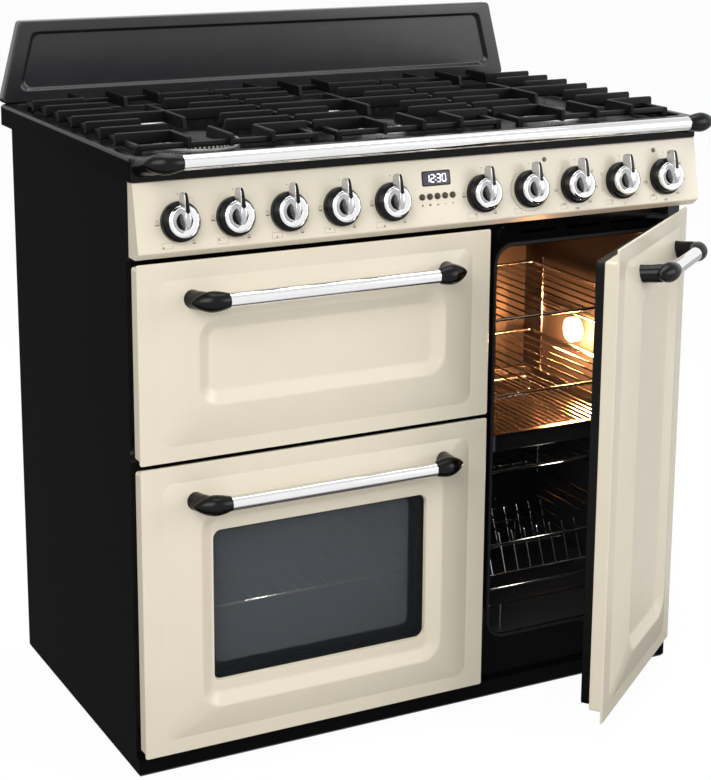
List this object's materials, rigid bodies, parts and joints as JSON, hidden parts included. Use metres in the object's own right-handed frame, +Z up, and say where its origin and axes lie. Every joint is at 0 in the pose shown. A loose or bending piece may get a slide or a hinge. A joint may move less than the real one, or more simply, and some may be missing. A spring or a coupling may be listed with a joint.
{
  "type": "kitchen stove",
  "caption": "Free-standing kitchen stove with gas burners under cast-iron pan supports, slanted control panel, grill, main oven and tall side oven with hinged doors.",
  "frame": {"origin": "on the floor, under the middle of the casing's footprint", "axes": "+X to the right seen from the front, +Y to the wall behind, +Z up"},
  "size_m": [0.9, 0.768, 1],
  "materials": {
    "cream_enamel": "glossy vitreous enamel",
    "black_enamel": "glossy vitreous enamel",
    "cavity_enamel": "speckled grey vitreous enamel",
    "galvanised_steel": "bare zinc-coated sheet",
    "fan_steel": "bare sheet",
    "element_steel": "heat-darkened sheath",
    "shelf_chrome": "bright plated wire",
    "tray_enamel": "speckled vitreous enamel",
    "burner_aluminium": "cast, satin",
    "cap_enamel": "matt vitreous enamel",
    "cast_iron": "matt black enamelled casting",
    "bar_chrome": "polished plating",
    "black_plastic": "satin moulding",
    "knob": "plated lever on a black skirt",
    "button_bronze": "metallic moulding",
    "display_lens": "dark clear moulding",
    "door_glass": "tinted toughened glass",
    "lamp_glass": "clear lamp cover",
    "seal_rubber": "woven and moulded seal"
  },
  "bodies": {
    "casing": {"side_panel_left": "black_enamel", "side_panel_right": "black_enamel", "back_panel": "galvanised_steel", "plinth": "black_enamel", "base_tray": "galvanised_steel", "front_frame": "black_enamel", "grill_cavity": "cavity_enamel", "main_cavity": "cavity_enamel", "tall_cavity": "cavity_enamel", "cavity_seals": "seal_rubber", "fan_motors": "galvanised_steel", "fan_covers": "fan_steel", "oven_elements": "element_steel", "oven_lamps": "lamp_glass", "shelf_ladders": "shelf_chrome", "oven_shelves": "shelf_chrome", "roasting_tray": "tray_enamel", "plate_rack": "shelf_chrome", "hob_tray": "black_enamel", "burner_bodies": "burner_aluminium", "burner_caps": "cap_enamel", "splashback": "black_enamel", "hob_rail": "bar_chrome", "hob_rail_ends": "black_plastic", "control_panel": "cream_enamel", "panel_windows": "display_lens", "hinge_brackets": "galvanised_steel"},
    "grill_door": {"grill_door_skin": "cream_enamel", "grill_door_liner": "black_enamel", "grill_handle_bar": "bar_chrome", "grill_handle_ends": "black_plastic"},
    "main_door": {"main_door_skin": "cream_enamel", "main_door_liner": "black_enamel", "main_door_glass": "door_glass", "main_handle_bar": "bar_chrome", "main_handle_ends": "black_plastic"},
    "tall_door": {"tall_door_skin": "cream_enamel", "tall_door_liner": "black_enamel", "tall_handle_bar": "bar_chrome", "tall_handle_ends": "black_plastic"},
    "knob_1_body": {"knob_1": "knob"},
    "knob_2_body": {"knob_2": "knob"},
    "knob_3_body": {"knob_3": "knob"},
    "knob_4_body": {"knob_4": "knob"},
    "knob_5_body": {"knob_5": "knob"},
    "knob_6_body": {"knob_6": "knob"},
    "knob_7_body": {"knob_7": "knob"},
    "knob_8_body": {"knob_8": "knob"},
    "knob_9_body": {"knob_9": "knob"},
    "knob_10_body": {"knob_10": "knob"},
    "clock_button_1_body": {"clock_button_1": "button_bronze"},
    "clock_button_2_body": {"clock_button_2": "button_bronze"},
    "clock_button_3_body": {"clock_button_3": "button_bronze"},
    "clock_button_4_body": {"clock_button_4": "button_bronze"},
    "clock_button_5_body": {"clock_button_5": "button_bronze"},
    "pan_support_left_body": {"pan_support_left": "cast_iron"},
    "pan_support_middle_body": {"pan_support_middle": "cast_iron"},
    "pan_support_right_body": {"pan_support_right": "cast_iron"},
    "main_fan_body": {"main_fan": "fan_steel"},
    "tall_fan_body": {"tall_fan": "fan_steel"}
  },
  "joints": [
    {"name": "grill_door_hinge", "type": "hinge", "parent": "casing", "child": "grill_door", "pos_m": [-0.17875, -0.256, 0.47553], "axis": [1, 0, 0], "range_deg": [0, 80], "stiffness_Nm_per_rad": 4, "springref_deg": -28.65},
    {"name": "main_door_hinge", "type": "hinge", "parent": "casing", "child": "main_door", "pos_m": [-0.17875, -0.256, 0.052], "axis": [1, 0, 0], "range_deg": [0, 85], "stiffness_Nm_per_rad": 6, "springref_deg": -28.65},
    {"name": "tall_door_hinge", "type": "hinge", "parent": "casing", "child": "tall_door", "pos_m": [0.423, -0.264, 0.387], "axis": [0, 0, 1], "range_deg": [-37.5, 57.5]},
    {"name": "knob_1_turn", "type": "hinge", "parent": "casing", "child": "knob_1_body", "pos_m": [-0.387, -0.27357, 0.78895], "axis": [0, -0.9814, 0.192], "range_deg": [0, 210]},
    {"name": "knob_2_turn", "type": "hinge", "parent": "casing", "child": "knob_2_body", "pos_m": [-0.3085, -0.27357, 0.78895], "axis": [0, -0.9814, 0.192], "range_deg": [0, 210]},
    {"name": "knob_3_turn", "type": "hinge", "parent": "casing", "child": "knob_3_body", "pos_m": [-0.23, -0.27357, 0.78895], "axis": [0, -0.9814, 0.192], "range_deg": [0, 210]},
    {"name": "knob_4_turn", "type": "hinge", "parent": "casing", "child": "knob_4_body", "pos_m": [-0.1515, -0.27357, 0.78895], "axis": [0, -0.9814, 0.192], "range_deg": [0, 210]},
    {"name": "knob_5_turn", "type": "hinge", "parent": "casing", "child": "knob_5_body", "pos_m": [-0.073, -0.27357, 0.78895], "axis": [0, -0.9814, 0.192], "range_deg": [0, 210]},
    {"name": "knob_6_turn", "type": "hinge", "parent": "casing", "child": "knob_6_body", "pos_m": [0.073, -0.27357, 0.78895], "axis": [0, -0.9814, 0.192], "range_deg": [0, 210]},
    {"name": "knob_7_turn", "type": "hinge", "parent": "casing", "child": "knob_7_body", "pos_m": [0.1515, -0.27357, 0.78895], "axis": [0, -0.9814, 0.192], "range_deg": [-290, 0]},
    {"name": "knob_8_turn", "type": "hinge", "parent": "casing", "child": "knob_8_body", "pos_m": [0.23, -0.27357, 0.78895], "axis": [0, -0.9814, 0.192], "range_deg": [-290, 0]},
    {"name": "knob_9_turn", "type": "hinge", "parent": "casing", "child": "knob_9_body", "pos_m": [0.3085, -0.27357, 0.78895], "axis": [0, -0.9814, 0.192], "range_deg": [-290, 0]},
    {"name": "knob_10_turn", "type": "hinge", "parent": "casing", "child": "knob_10_body", "pos_m": [0.387, -0.27357, 0.78895], "axis": [0, -0.9814, 0.192], "range_deg": [-290, 0]},
    {"name": "clock_button_1_press", "type": "slide", "parent": "casing", "child": "clock_button_1_body", "axis": [0, 0.9814, -0.192], "range_m": [0, 0.002], "stiffness_N_per_m": 400, "springref_m": -0.001},
    {"name": "clock_button_2_press", "type": "slide", "parent": "casing", "child": "clock_button_2_body", "axis": [0, 0.9814, -0.192], "range_m": [0, 0.002], "stiffness_N_per_m": 400, "springref_m": -0.001},
    {"name": "clock_button_3_press", "type": "slide", "parent": "casing", "child": "clock_button_3_body", "axis": [0, 0.9814, -0.192], "range_m": [0, 0.002], "stiffness_N_per_m": 400, "springref_m": -0.001},
    {"name": "clock_button_4_press", "type": "slide", "parent": "casing", "child": "clock_button_4_body", "axis": [0, 0.9814, -0.192], "range_m": [0, 0.002], "stiffness_N_per_m": 400, "springref_m": -0.001},
    {"name": "clock_button_5_press", "type": "slide", "parent": "casing", "child": "clock_button_5_body", "axis": [0, 0.9814, -0.192], "range_m": [0, 0.002], "stiffness_N_per_m": 400, "springref_m": -0.001},
    {"name": "pan_support_left_lift", "type": "slide", "parent": "casing", "child": "pan_support_left_body", "axis": [0, 0, 1], "range_m": [0, 0.06]},
    {"name": "pan_support_middle_lift", "type": "slide", "parent": "casing", "child": "pan_support_middle_body", "axis": [0, 0, 1], "range_m": [0, 0.06]},
    {"name": "pan_support_right_lift", "type": "slide", "parent": "casing", "child": "pan_support_right_body", "axis": [0, 0, 1], "range_m": [0, 0.06]},
    {"name": "main_fan_spin", "type": "hinge", "parent": "casing", "child": "main_fan_body", "pos_m": [-0.17875, 0.137, 0.25851], "axis": [0, 1, 0], "continuous": true},
    {"name": "tall_fan_spin", "type": "hinge", "parent": "casing", "child": "tall_fan_body", "pos_m": [0.27199, 0.137, 0.47], "axis": [0, 1, 0], "continuous": true}
  ]
}
